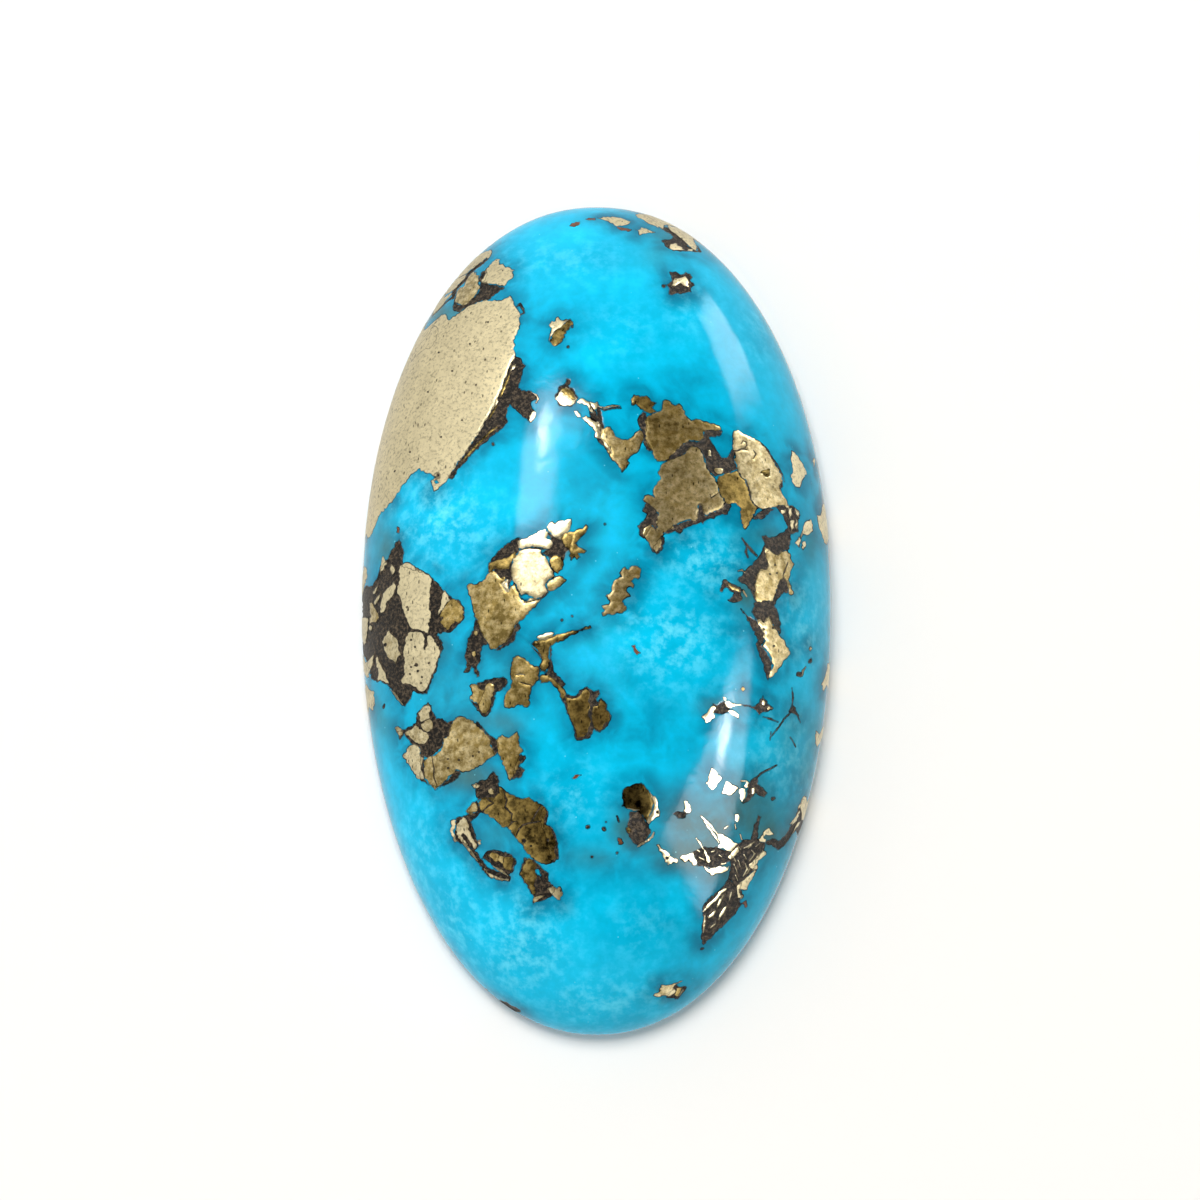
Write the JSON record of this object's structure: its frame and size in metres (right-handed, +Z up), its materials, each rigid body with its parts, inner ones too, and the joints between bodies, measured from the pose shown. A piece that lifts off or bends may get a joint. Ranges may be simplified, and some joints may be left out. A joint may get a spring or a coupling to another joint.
{
  "type": "polished turquoise cabochon",
  "caption": "Oval high-domed cabochon of blue turquoise with flush pyrite plates and dark matrix, polished, on a flat bevelled back that rests on a surface or is set in a bezel.",
  "frame": {"origin": "middle of the flat back", "axes": "+Z up through the dome, +Y along the stone towards its fuller end, +X across it"},
  "size_m": [0.0198, 0.036, 0.0074],
  "materials": {
    "polished_turquoise": "high polish, with flush pale gold pyrite and dark brown matrix"
  },
  "bodies": {
    "root": {"cabochon": "polished_turquoise"}
  },
  "joints": []
}
